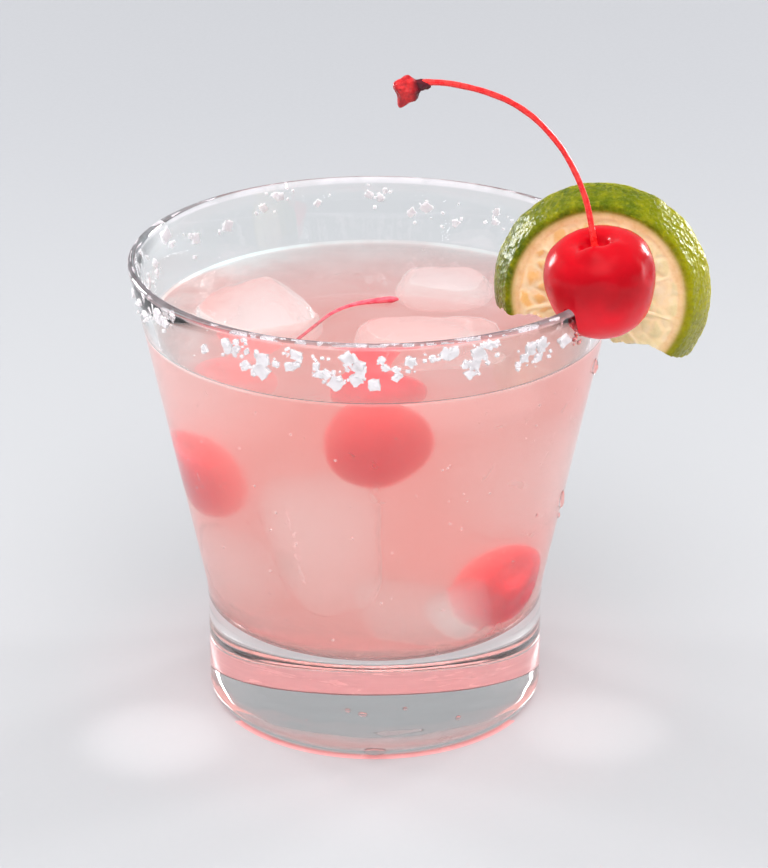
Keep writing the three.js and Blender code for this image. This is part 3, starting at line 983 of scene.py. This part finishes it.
def pulp_share(place):
    """1 in the flesh of the slice, 0 in its walls, core and pith."""
    out = hypot(place.x, place.y)
    wall, _ = segment_place(place)
    edge = LIME_PITH_EDGE + 0.35 * rough(place, 3, 3) - 1.1 * math.exp(-(wall / 1.2) ** 2)
    return ease(wall, 0.16, 0.42) * ease(edge - out, -0.1, 0.35) * ease(out, LIME_CORE, LIME_CORE + 0.5)


def vesicle(place):
    """How near a place in the flesh is to the edge of a juice sac, 0 at the edge and 1 in the middle."""
    out = hypot(place.x, place.y)
    along = atan2(place.y, place.x) * 4.2 + 0.5 * rough(place, 4, 9)
    warped = Vector((along, out / 3.6 + 0.35 * rough(place, 2.5, 4), place.z / 3))
    near, second = noise.voronoi(warped)[0][:2]
    return min(1, max(0, (second - near) * 2.4))


def lime_relief(place, normal):
    shift = Vector((0, 0, 0))
    depth = (place - WHOLE_CENTRE).length
    if depth > WHOLE_RADIUS - 0.35:
        lumps = 0.32 * rough(place, 5, 1) + 0.1 * rough(place, 1.3, 2)
        pores = -0.13 * max(0, 1 - noise.voronoi(place / 0.95)[0][0] * 2.2)
        shift += (place - WHOLE_CENTRE).normalized() * (lumps + pores - 0.1)
    elif abs(normal.z) > 0.6:
        pulp = pulp_share(place)
        sacs = vesicle(place)
        juice = pulp * (0.24 * sacs - 0.22 + 0.1 * rough(place, 1.6, 6))
        shift += normal * (juice + 0.06 * rough(place, 2, 7))
    return shift


def lime_finish():
    lime = Finish("lime", Coat_Roughness=0.06, IOR=1.3, Subsurface_Weight=0.55, Subsurface_Scale=0.004,
                  Subsurface_Radius=(1, 0.85, 0.4))
    place = lime.place(lime_place().translation * MM, lime_place().to_euler())
    pulp = lime.attribute("pulp")
    sacs = lime.attribute("sacs")
    rind = lime.attribute("rind")
    out = lime.attribute("out")
    mottle = lime.noise(place, 3.2, 4, 0.6)
    fine = lime.noise(place, 0.8, 3)
    across = lime.axis(lime.place(), "X")
    green = lime.mix(lime.step(mottle, 0.3, 0.75), colour(76, 92, 0), colour(120, 124, 0))
    green = lime.mix(lime.step(across, 46, 64, 0, 0.75), green, colour(172, 164, 0))
    green = lime.mix(lime.step(fine, 0.55, 0.75, 0, 0.35), green, colour(168, 164, 4))
    blemish = lime.step(lime.noise(place, 4.5, 5, 0.7), 0.64, 0.72, 0, 0.75)
    green = lime.mix(blemish, green, colour(104, 66, 20))
    pith = lime.mix(lime.step(mottle, 0.3, 0.7), colour(220, 184, 134), colour(232, 206, 160))
    pith = lime.mix(lime.step(out, 13.2, 15), colour(248, 232, 190), pith)
    pith = lime.mix(lime.step(out, 15, 16.8), pith, colour(150, 138, 26))
    juicy = lime.mix(lime.step(across, 28, 52), colour(234, 192, 122), colour(224, 212, 164))
    flesh = lime.mix(lime.step(sacs, 0.1, 0.8), colour(240, 222, 178), juicy)
    flesh = lime.mix(lime.step(mottle, 0.45, 0.7, 0, 0.6), flesh, colour(234, 222, 190))
    inside = lime.mix(pulp, pith, flesh)
    pores = lime.cells(place, 1.0) * rind
    bump = lime.bump(pores, 0.9, 0.25)
    return lime.surface(
        Base_Color=lime.mix(rind, inside, green),
        Roughness=lime.step(fine, 0.3, 0.7, 0.2, 0.42),
        Coat_Weight=lime.step(rind + pulp * 0.6, 0.2, 1, 0.04, 0.2),
        Normal=lime.bump(fine, 0.4, 0.12, bump))


def lime_slice():
    back = -LIME_THICKNESS / 2
    front = LIME_THICKNESS / 2
    profile = straight((0, back), (LIME_BACK_RADIUS - 0.4, back), 36)
    rind_from = math.asin((back + 0.35 - WHOLE_CENTRE.z) / WHOLE_RADIUS)
    rind_to = math.asin((front - 0.3 - WHOLE_CENTRE.z) / WHOLE_RADIUS)
    profile.append((LIME_BACK_RADIUS - 0.25, back + 0.04))
    for i in range(27):
        angle = rind_from + (rind_to - rind_from) * i / 26
        profile.append((WHOLE_RADIUS * cos(angle), WHOLE_CENTRE.z + WHOLE_RADIUS * sin(angle)))
    profile.append((LIME_FRONT_RADIUS - 0.1, front - 0.06))
    profile += straight((LIME_FRONT_RADIUS - 0.35, front), (0, front), 46)
    profile.append((0, front))
    wedge = turn("lime_wedge", profile, 300)
    carve(wedge, lime_cutter())
    slit = rim_cutter()
    slit.matrix_world = lime_place().inverted()
    bake_place(slit)
    carve(wedge, slit)
    reshape(wedge, lime_relief)
    marks = {name: [] for name in ("pulp", "sacs", "rind", "out")}
    for vertex in wedge.data.vertices:
        place = vertex.co
        out = hypot(place.x, place.y)
        depth = (place - WHOLE_CENTRE).length
        marks["pulp"].append(pulp_share(place))
        marks["sacs"].append(vesicle(place))
        marks["rind"].append(ease(depth - WHOLE_RADIUS + LIME_RIND, -0.35, 0.35))
        marks["out"].append(out)
    for name, values in marks.items():
        wedge.data.attributes.new(name, "FLOAT", "POINT").data.foreach_set("value", values)
    wedge.matrix_world = lime_place()
    bake_place(wedge)
    settle(smooth(wedge, 40), lime_finish(), "lime", "lime_slice")


# Drops on the outside of the glass: azimuth in degrees, height, half width, half height, stand-off
WALL_DROPS = [
    (-17, 72, 0.9, 1.7, 0.75), (-17.5, 44.5, 0.9, 1.9, 0.7), (-14, 40, 0.5, 0.6, 0.35),
    (-99, 10.5, 0.6, 0.5, 0.4), (-94, 9.8, 0.9, 0.5, 0.4), (-90, 1.9, 2.1, 0.8, 0.6),
    (-80, 10.8, 0.5, 0.4, 0.3), (-61, 6.9, 0.6, 0.5, 0.35), (-36, 46, 0.35, 0.4, 0.25),
    (150, 50, 0.8, 1.2, 0.5), (95, 60, 0.7, 1.0, 0.5),
]


def drop_finish(name, tint):
    water = Finish(name, Transmission_Weight=1, IOR=1.33, Base_Color=tint)
    place = water.place()
    wobble = water.noise(place, 1.2, 2)
    return water.surface(Roughness=water.step(wobble, 0.4, 0.8, 0.0, 0.03),
                         Normal=water.bump(wobble, 0.2, 0.1))


def wall_drops():
    drops = []
    for azimuth, height, wide, tall, stand in WALL_DROPS:
        radius = BASE_RADIUS if height < TAPER_START else outer_radius(height)
        if height < FOOT_ROUNDING:
            radius -= FOOT_ROUNDING - (FOOT_ROUNDING ** 2 - (FOOT_ROUNDING - height) ** 2) ** 0.5
        deselect()
        bpy.ops.mesh.primitive_uv_sphere_add(segments=32, ring_count=20, radius=1,
                                             location=(radius, 0, height), scale=(stand, wide, tall))
        drop = bake_place(named("drop"))
        reshape(drop, lambda place, normal: normal * 0.1 * rough(place, 1.1, azimuth))
        drop.rotation_euler = (0, 0, radians(azimuth))
        drops.append(bake_place(drop))
    settle(smooth(join(drops, "wall_drops")), drop_finish("water_drop", colour(255, 240, 240)), "drink")


# A pink film under the back of the foot, painted light that stands for the drink's pink glow on the floor
# there, as points of radius and height on the underside
GLOW_FILM_UNDER = [(0, 0.9), (8, 0.9), (16, 0.85), (21, 0.7), (23.2, 0.52)]
GLOW_FILM_THICKNESS = 0.12
GLOW_FILM_FROM = 7                     # how far behind the middle of the glass the film begins
# A pink film at the front edge of the foot, the same painted glow, as a profile in the gap under its
# rounding
GLOW_FILM_EDGE = [(29.9, 0.03), (31.9, 0.03), (31.7, 0.14), (30.6, 0.2), (29.9, 0.03)]
GLOW_FILM_EDGE_TO = -17                # how far in front of the middle it ends


def glow_film():
    film = [(radius, height + GLOW_FILM_THICKNESS) for radius, height in GLOW_FILM_UNDER]
    film += [(radius, max(height - GLOW_FILM_THICKNESS, 0.02)) for radius, height in reversed(GLOW_FILM_UNDER)]
    # Painted light: a pink colour and a faint glow for the drink's light on the floor under the foot.
    film_paint = Finish("painted_floor_glow", IOR=1.34, Emission_Color=(1, 0.5, 0.48, 1), Emission_Strength=0.06)
    streaks = film_paint.noise(film_paint.place(), 5, 4, 0.6, 1)
    finish = film_paint.surface(Base_Color=film_paint.mix(streaks, colour(204, 144, 146), colour(228, 176, 176)),
                           Roughness=film_paint.step(streaks, 0.3, 0.7, 0.1, 0.3))
    ring = turn("glow_film", film + [film[0]], 120)
    deselect()
    bpy.ops.mesh.primitive_cube_add(size=2 * BASE_RADIUS, location=(0, GLOW_FILM_FROM - BASE_RADIUS, 0))
    carve(ring, bake_place(named("front_half")))
    edge = turn("glow_film_edge", GLOW_FILM_EDGE, 160)
    deselect()
    bpy.ops.mesh.primitive_cube_add(size=2 * BASE_RADIUS, location=(0, GLOW_FILM_EDGE_TO + BASE_RADIUS, 0))
    carve(edge, bake_place(named("back_half")))
    settle(smooth(join([ring, edge], "glow_film"), 40), finish, "drink")


# Bubbles in the drink near the wall, and a crack in the front block of ice
BUBBLES = 190
BUBBLE_SMALLEST = 0.09
BUBBLE_LARGEST = 0.3
ICE_CRACK = [
    (-14.6, -25, 50), (-13.6, -25.4, 46.5), (-13.2, -25, 42.5), (-12.4, -24.4, 38), (-11.4, -24, 34.5),
]
FOAM_AZIMUTH = -35               # of the froth by the cherry's slit
FOAM_SPREAD = 4.6                # in degrees
FOAM_HEIGHT = 85
FOAM_TALL = 6.5
FOAM_BUBBLES = 46


def bubble_finish():
    # A faint painted glow lightens the bubbles.
    bubble = Finish("bubbles", Transmission_Weight=0.55, IOR=1.2, Emission_Color=(1, 0.9, 0.9, 1),
                    Emission_Strength=0.12)
    sheen = bubble.noise(bubble.place(), 0.6, 2)
    return bubble.surface(Base_Color=bubble.mix(sheen, colour(255, 226, 226), colour(255, 250, 250)),
                          Roughness=bubble.step(sheen, 0.3, 0.7, 0.05, 0.3))


def bubble(place, radius):
    deselect()
    bpy.ops.mesh.primitive_ico_sphere_add(subdivisions=2, radius=radius, location=place)
    return bake_place(named("bubble"))


def bubbles():
    draw = draws(31)
    beads = []
    for _ in range(BUBBLES):
        azimuth = radians(-90 + 150 * (next(draw) - 0.5) if next(draw) < 0.75 else 360 * next(draw))
        height = FLOOR_HEIGHT + 4 + (DRINK_LEVEL - FLOOR_HEIGHT - 5) * next(draw)
        out = inner_radius(height) - 0.6 - 5 * next(draw) ** 2
        radius = BUBBLE_SMALLEST + (BUBBLE_LARGEST - BUBBLE_SMALLEST) * next(draw) ** 3
        beads.append(bubble((out * cos(azimuth), out * sin(azimuth), height), radius))
    for start, end in zip(ICE_CRACK, ICE_CRACK[1:]):
        for point in straight(start, end, 5):
            shake = Vector((next(draw) - 0.5, next(draw) - 0.5, next(draw) - 0.5)) * 0.5
            beads.append(bubble(Vector(point) + shake, 0.12 + 0.16 * next(draw)))
    settle(smooth(join(beads, "small_bubbles")), bubble_finish(), "drink")


def foam():
    """Froth on the wall where the cherry sits on it."""
    draw = draws(41)
    beads = []
    for _ in range(FOAM_BUBBLES):
        azimuth = radians(FOAM_AZIMUTH + FOAM_SPREAD * (next(draw) - 0.5))
        height = FOAM_HEIGHT + FOAM_TALL * (next(draw) - 0.5)
        out = outer_radius(height) + 0.1
        radius = 0.2 + 0.35 * next(draw) ** 2
        beads.append(bubble((out * cos(azimuth), out * sin(azimuth), height), radius))
    settle(smooth(join(beads, "slit_foam")), drop_finish("froth", colour(255, 214, 218)), "drink")


def main():
    glass()
    salt()
    room = inside_bowl("room", 0.35)
    blocks = {}
    for node, seed in SURFACE_ICE.items():
        blocks[node] = surface_block(node, seed)
    for seed, (name, (centre, half, turned)) in enumerate(SUNK_ICE.items()):
        block = sunk_block(name, centre, half, turned, seed + 10)
        modify(block, "BOOLEAN", operation="INTERSECT", solver="EXACT", object=room)
        blocks[name] = block
    bpy.data.objects.remove(room, do_unlink=True)
    stalk = sunk_stem()
    drink([blocks[name] for name in SURFACE_ICE] + [stalk])
    clear_ice = ice_finish("clear_ice", *CLEAR_ICE)
    hazy_ice = ice_finish("hazy_ice", *HAZY_ICE)
    white_ice = ice_finish("white_ice", *WHITE_ICE)
    for name, block in blocks.items():
        if name in SURFACE_ICE:
            settle(smooth(block, 60), clear_ice, "ice", name)
        else:
            settle(smooth(block, 60), white_ice if name in WHITE_BLOCKS else hazy_ice, "ice")
    steeped = stem_finish("steeped_stem", colour(240, 112, 124), colour(222, 66, 86))
    settle(smooth(stalk, 60), steeped, "stem", "sunk_cherry_stem")
    sunk_cherries()
    cherry()
    cherry_stem()
    stem_knob()
    lime_slice()
    wall_drops()
    bubbles()
    foam()
    glow_film()


# Stage, light and camera

FLOOR_SIZE = 6
LIGHT_DISTANCE = 1.2
LOW_LIGHT = 20                   # softboxes below this elevation show in reflections, others through glass
# Softboxes: degrees to each side of straight behind the glass, elevation, size, power
SOFTBOXES = [(46, 14, (0.27, 0.44), 7), (72, 31, (0.18, 0.4), 3)]
FILL_PLACE = Vector((0, -0.9, 1.0))
FILL_SIZE = 0.9
FILL_POWER = 7
ROOF_PLACE = Vector((0, -0.45, 1.2))
ROOF_SIZE = 1.2
ROOF_POWER = 10
LIFT_POWER = 13                  # the same light again without shadows, which keeps the shadows pale
BEAM_HEIGHT = 0.6
GLOW_ANGLE = 13
GLOW_POWER = 3.4
PATCHES = [(-0.042, -0.024, 4), (0.042, -0.02, 3)]        # bright patches on the floor: X, Y, power
PATCH_ANGLE = 3.4
GLOW_COLOUR = (1, 0.42, 0.42)    # of the light that the drink throws on the floor round the glass
LIGHT_TARGET = Vector((0, 0, 0.05))
SKY_FRONT = 0.3                  # brightness of the room on the viewer's side
SKY_BACK = 0.42                  # and above and behind
SKY_SLOPE = 36                   # degrees that the bright side leans back from straight up
SKY_FADE = {"From Min": -0.5, "From Max": 0.7, "To Min": SKY_FRONT, "To Max": SKY_BACK}

CAMERA_ELEVATION = 24.1
CAMERA_DISTANCE = 0.6
CAMERA_TARGET_HEIGHT = 0.045
PIXELS_ACROSS_FOCAL_LENGTH = 3124.8
PICTURE_HEIGHT = 868
SENSOR = 36
CAMERA_PITCH_TRIM = 0.697        # degrees that turn the glass to its place in the picture
CAMERA_YAW_TRIM = -0.187


def stage():
    deselect()
    bpy.ops.mesh.primitive_grid_add(x_subdivisions=8, y_subdivisions=8, size=FLOOR_SIZE)
    floor = named("floor")
    paper = Finish("pale_floor", Specular_IOR_Level=0.2)
    grain = paper.noise(paper.place(), 1.5, 3)
    near = paper.mix(grain, (0.43, 0.435, 0.45, 1), (0.45, 0.455, 0.47, 1))
    # Painted shade: the floor turns darker far behind the glass, where less light reaches it.
    far = paper.step(paper.axis(paper.place(), "Y"), 60, 420)
    floor.data.materials.append(paper.surface(
        Base_Color=paper.mix(far, near, (0.39, 0.395, 0.415, 1)),
        Roughness=paper.step(grain, 0.3, 0.7, 0.65, 0.75)))


def softbox(name, place, size, power):
    lamp = bpy.data.lights.new(name, "AREA")
    lamp.shape = "RECTANGLE"
    lamp.size, lamp.size_y = size
    lamp.energy = power
    box = bpy.data.objects.new(name, lamp)
    box.location = place
    box.rotation_euler = (LIGHT_TARGET - place).to_track_quat("-Z", "Y").to_euler()
    bpy.context.scene.collection.objects.link(box)
    return box


def beam(name, place, angle, power, tint):
    """A soft round patch of light on the floor, without shadows."""
    lamp = bpy.data.lights.new(name, "SPOT")
    lamp.energy = power
    lamp.color = tint
    lamp.spot_size = radians(angle)
    lamp.spot_blend = 1
    lamp.use_shadow = False
    spot = bpy.data.objects.new(name, lamp)
    spot.location = (*place, BEAM_HEIGHT)
    bpy.context.scene.collection.objects.link(spot)
    return spot


def lights():
    world = bpy.data.worlds.new("studio")
    world.use_nodes = True
    tree = world.node_tree
    sky = tree.nodes["Background"]
    sky.inputs["Color"].default_value = (0.95, 0.97, 1, 1)
    direction = tree.nodes.new("ShaderNodeTexCoord")
    towards = tree.nodes.new("ShaderNodeVectorMath")
    towards.operation = "DOT_PRODUCT"
    towards.inputs[1].default_value = (0, sin(radians(SKY_SLOPE)), cos(radians(SKY_SLOPE)))
    fade = tree.nodes.new("ShaderNodeMapRange")
    fade.interpolation_type = "SMOOTHSTEP"
    for name, value in SKY_FADE.items():
        fade.inputs[name].default_value = value
    tree.links.new(direction.outputs["Generated"], towards.inputs[0])
    tree.links.new(towards.outputs["Value"], fade.inputs["Value"])
    tree.links.new(fade.outputs[0], sky.inputs["Strength"])
    bpy.context.scene.world = world
    for side, elevation, size, power in SOFTBOXES:
        for around in (radians(side), radians(-side)):
            rise = radians(elevation)
            place = LIGHT_DISTANCE * Vector((sin(around) * cos(rise), cos(around) * cos(rise), sin(rise)))
            box = softbox("softbox", place, size, power)
            box.visible_transmission = elevation > LOW_LIGHT
            box.visible_glossy = elevation < LOW_LIGHT
    fill = softbox("fill", FILL_PLACE, (FILL_SIZE, FILL_SIZE), FILL_POWER)
    roof = softbox("roof", ROOF_PLACE, (ROOF_SIZE, ROOF_SIZE), ROOF_POWER)
    lift = softbox("lift", ROOF_PLACE, (ROOF_SIZE, ROOF_SIZE), LIFT_POWER)
    lift.data.use_shadow = False
    beams = [beam("glow", (0, 0), GLOW_ANGLE, GLOW_POWER, GLOW_COLOUR)]
    for x, y, power in PATCHES:
        beams.append(beam("patch", (x, y), PATCH_ANGLE, power, (1, 0.98, 0.97)))
    for light in [fill, roof, lift] + beams:
        light.visible_glossy = False
        light.visible_transmission = False


def camera():
    elevation = radians(CAMERA_ELEVATION)
    lens = bpy.data.cameras.new("viewer")
    lens.sensor_width = SENSOR
    lens.lens = SENSOR * PIXELS_ACROSS_FOCAL_LENGTH / PICTURE_HEIGHT
    viewer = bpy.data.objects.new("viewer", lens)
    viewer.location = (0, -CAMERA_DISTANCE * cos(elevation),
                       CAMERA_TARGET_HEIGHT + CAMERA_DISTANCE * sin(elevation))
    pitch = 90 - CAMERA_ELEVATION + CAMERA_PITCH_TRIM
    viewer.rotation_euler = (radians(pitch), 0, radians(CAMERA_YAW_TRIM))
    bpy.context.scene.collection.objects.link(viewer)
    bpy.context.scene.camera = viewer


def picture_settings():
    scene = bpy.context.scene
    scene.view_settings.view_transform = "Standard"
    cycles = scene.cycles
    cycles.sample_clamp_indirect = 0
    cycles.max_bounces = 12
    cycles.transmission_bounces = 11
    cycles.volume_bounces = 1
    cycles.glossy_bounces = 6
    cycles.diffuse_bounces = 3
    cycles.transparent_max_bounces = 16


main()
stage()
lights()
camera()
picture_settings()
